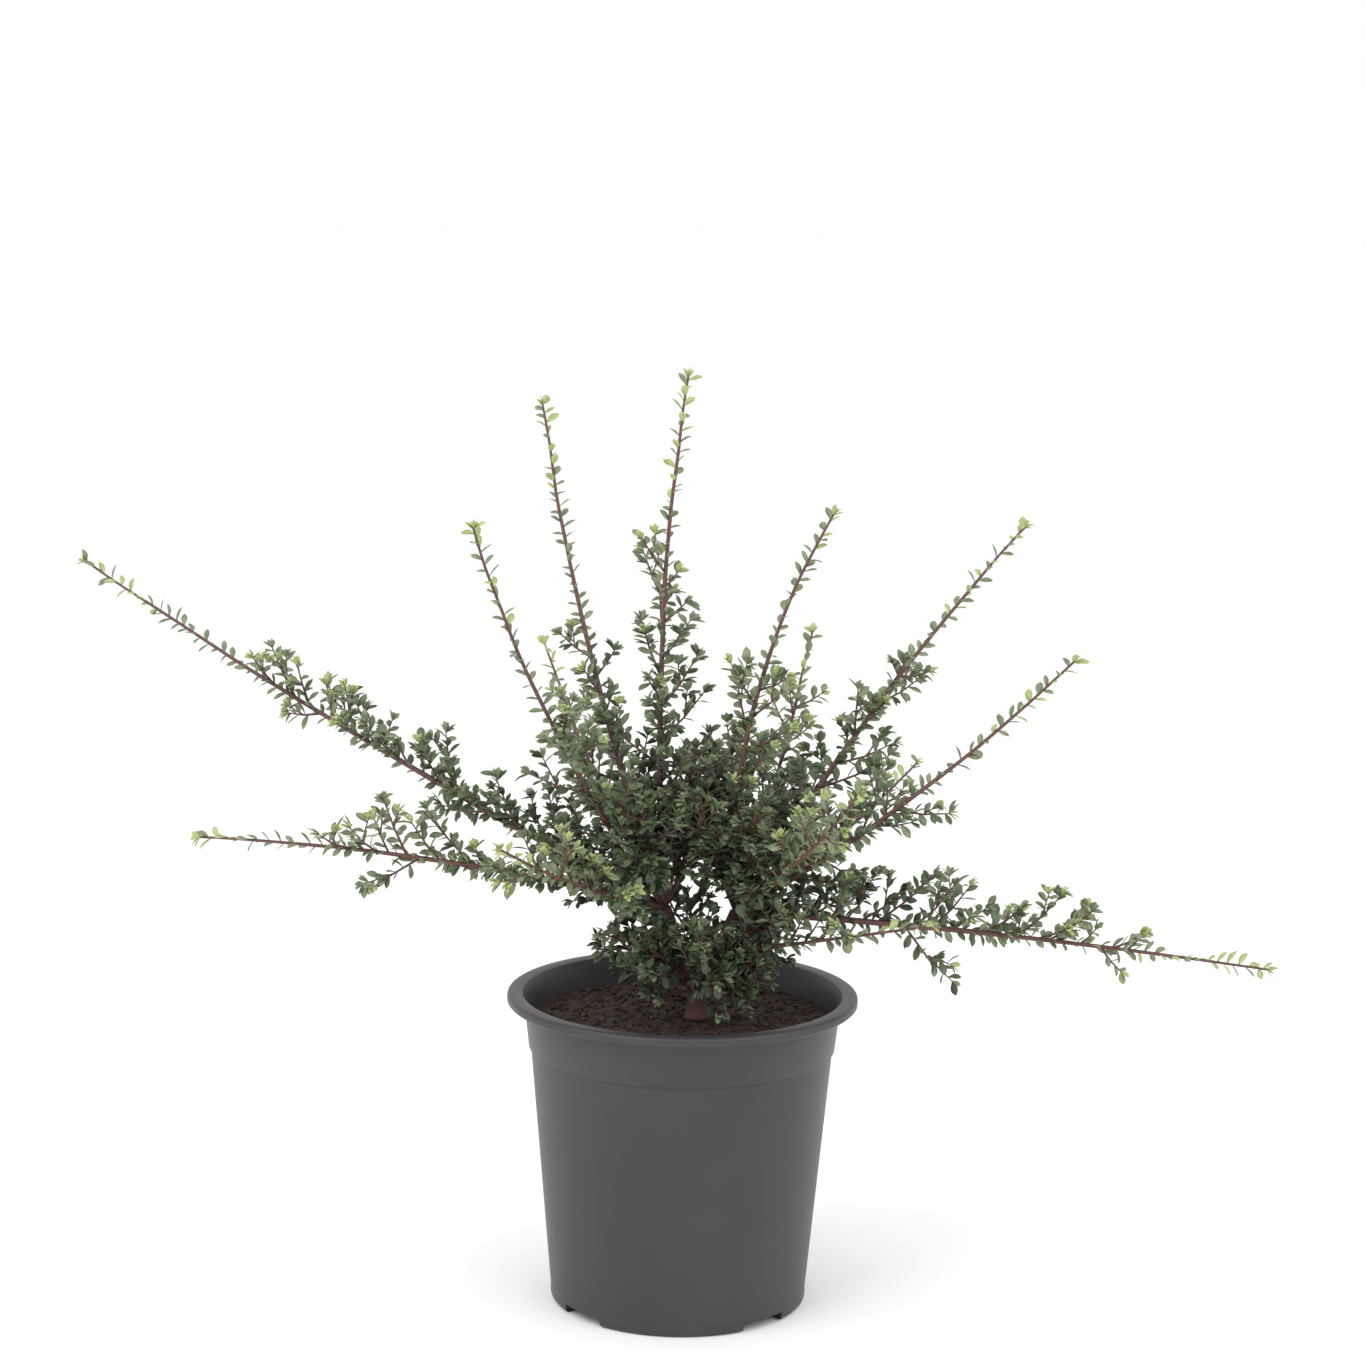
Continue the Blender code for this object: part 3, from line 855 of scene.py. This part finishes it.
@dataclass
class Soil:
    """The peat: an uneven bed, calm round the stem's foot, with crumbs and fibres on it.

    A bump is the scale of a noise and its height in millimetres, and the dents are the scale of a noise and
    its depth against a crumb. Crumb sizes are in millimetres, and a shape is a crumb's sides against its size.
    """
    top: float = 138.6 * MM
    radius: float = 74.0 * MM
    depth: float = 8 * MM
    segments: int = 96
    cuts: int = 36
    bumps: tuple[Span, ...] = ((120, 0.9), (420, 0.7))
    calm_centre: Span = (7 * MM, 2 * MM)
    calm_radius: float = 14 * MM
    crumbs: int = 1500
    crumb_size: Span = (0.8, 3.2)
    crumb_shape: Place = (1, 0.8, 0.6)
    crumb_dents: Span = (5, 0.35)
    fibre_chance: float = 0.3
    fibre_shape: Place = (3, 0.3, 0.3)
    scatter: float = 0.97
    overhang: float = 0.5 * MM
    rise: float = 0.2
    tilt: float = 0.3
    seed: int = 7

    def build(self) -> None:
        """Build the bed and its crumbs."""
        work = bmesh.new()
        bmesh.ops.create_circle(work, cap_ends=True, segments=self.segments, radius=self.radius)
        rim = work.edges[:]
        hub = bmesh.ops.poke(work, faces=work.faces)["verts"][0]
        bmesh.ops.subdivide_edges(work, edges=list(hub.link_edges), cuts=self.cuts, use_grid_fill=True)
        for vert in work.verts:
            bump = sum(noise.noise(vert.co * scale) * height for scale, height in self.bumps)
            calm = min(1.0, (vert.co.xy - Vector(self.calm_centre)).length / self.calm_radius)
            vert.co.z = bump * calm * MM
        wall = bmesh.ops.extrude_edge_only(work, edges=[edge for edge in rim if edge.is_valid])
        for item in wall["geom"]:
            if isinstance(item, bmesh.types.BMVert):
                item.co.z = -self.depth
        bmesh.ops.contextual_create(work, geom=[edge for edge in work.edges if edge.is_boundary])
        bmesh.ops.translate(work, verts=work.verts, vec=(0, 0, self.top))
        bmesh.ops.recalc_face_normals(work, faces=work.faces)
        bed = mesh_of("soil_bed", work)
        bed.materials.append(PEAT.material())
        add_piece("soil_bed", bed, ("soil",))
        self.add_crumbs()

    def crumb(self) -> bpy.types.Mesh:
        """Build the dented crumb that is scattered.

        Returns:
            The crumb's mesh.
        """
        scale, depth = self.crumb_dents
        work = bmesh.new()
        bmesh.ops.create_icosphere(work, subdivisions=1, radius=0.5)
        for vert in work.verts:
            vert.co *= 1 + depth * noise.noise(vert.co * scale)
        return mesh_of("crumb", work)

    def add_crumbs(self) -> None:
        """Scatter crumbs and short fibres over the bed."""
        rng = random.Random(self.seed)
        places = []
        for _ in range(self.crumbs):
            angle = rng.random() * math.tau
            reach = self.scatter * self.radius * math.sqrt(rng.random())
            size = rng.uniform(*self.crumb_size) * MM
            height = self.top + self.rise * size
            spot = Vector((reach * math.cos(angle), reach * math.sin(angle), height))
            shape = self.fibre_shape if rng.random() < self.fibre_chance else self.crumb_shape
            sides = tuple(size * side for side in shape)
            if spot.xy.length + max(sides) > self.radius + self.overhang:
                continue
            turn = Matrix.Rotation(rng.random() * math.tau, 4, "Z")
            tilt = Matrix.Rotation(rng.uniform(-self.tilt, self.tilt), 4, "Y")
            places.append(Matrix.Translation(spot) @ (turn @ tilt) @ Matrix.Diagonal((*sides, 1)))
        slots = [rng.choice((0, 1)) for _ in places]
        mesh = joined_copies("soil_crumbs", self.crumb(), places, slots)
        mesh.materials.append(PEAT.material())
        mesh.materials.append(CRUMB.material())
        add_piece("soil_crumbs", mesh, ())


@dataclass(frozen=True)
class Lamp:
    """One soft square light aimed at the plant, with its power in watts."""
    name: str
    place: Place
    power: float
    side: float = 1.4
    target: Place = (0, 0, 0.2)

    def build(self) -> None:
        """Hang the light and aim it."""
        lamp = bpy.data.lights.new(self.name, "AREA")
        lamp.size = self.side
        lamp.energy = self.power
        light = add_object(self.name, lamp)
        turn = (Vector(self.target) - Vector(self.place)).to_track_quat("-Z", "Y")
        light.matrix_world = Matrix.Translation(self.place) @ turn.to_matrix().to_4x4()


@dataclass
class Studio:
    """The camera at the photograph's place, a white floor and soft light. Angles are in degrees."""
    place: Place = (-0.0023, -1.488, 0.546)
    pitch: float = 9.23
    roll: float = 0.955
    lens: float = 83.2
    sensor: float = 36.0
    floor_size: float = 30
    floor_roughness: float = 0.8
    lamps: tuple[Lamp, ...] = (Lamp("key", (-1.2, -1.0, 1.6), 16), Lamp("fill", (1.3, -0.9, 1.3), 9))

    def build(self) -> None:
        """Build the camera, floor, background and lights."""
        self.add_camera()
        bpy.context.scene.view_settings.view_transform = "Standard"
        self.add_floor()
        world = bpy.data.worlds.new("studio")
        bpy.context.scene.world = world
        world.use_nodes = True
        background = world.node_tree.nodes["Background"]
        background.inputs["Color"].default_value = (1, 1, 1, 1)
        background.inputs["Strength"].default_value = 1.0
        for lamp in self.lamps:
            lamp.build()

    def add_camera(self) -> None:
        """Place the camera where the photograph was taken."""
        lens = bpy.data.cameras.new("camera")
        lens.lens = self.lens
        lens.sensor_width = self.sensor
        camera = add_object("camera", lens)
        turn = Matrix.Rotation(math.radians(90 - self.pitch), 4, "X")
        roll = Matrix.Rotation(math.radians(self.roll), 4, "Z")
        camera.matrix_world = Matrix.Translation(self.place) @ turn @ roll
        bpy.context.scene.camera = camera

    def add_floor(self) -> None:
        """Lay the white floor."""
        work = bmesh.new()
        bmesh.ops.create_grid(work, x_segments=1, y_segments=1, size=self.floor_size)
        mesh = mesh_of("floor", work)
        paper = bpy.data.materials.new("paper")
        paper.use_nodes = True
        shader = paper.node_tree.nodes["Principled BSDF"]
        shader.inputs["Base Color"].default_value = (1, 1, 1, 1)
        shader.inputs["Roughness"].default_value = self.floor_roughness
        mesh.materials.append(paper)
        floor = add_object("floor", mesh)


def main() -> None:
    """Build the studio and every piece of the part."""
    logging.basicConfig(level=logging.INFO)
    Studio().build()
    Pot().build()
    Soil().build()
    Trunk().build()
    leaf = Leaf().template()
    for seed, shoot in enumerate(SHOOTS + HEART_SHOOTS):
        Spray(shoot, seed, leaf).build()


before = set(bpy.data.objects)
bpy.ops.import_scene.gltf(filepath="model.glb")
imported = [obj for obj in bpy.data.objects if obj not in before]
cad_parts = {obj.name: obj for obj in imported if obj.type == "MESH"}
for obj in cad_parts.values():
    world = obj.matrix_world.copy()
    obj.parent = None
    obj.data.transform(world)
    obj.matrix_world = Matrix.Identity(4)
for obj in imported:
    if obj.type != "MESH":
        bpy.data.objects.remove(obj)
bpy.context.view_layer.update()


if __name__ == "__main__":
    main()
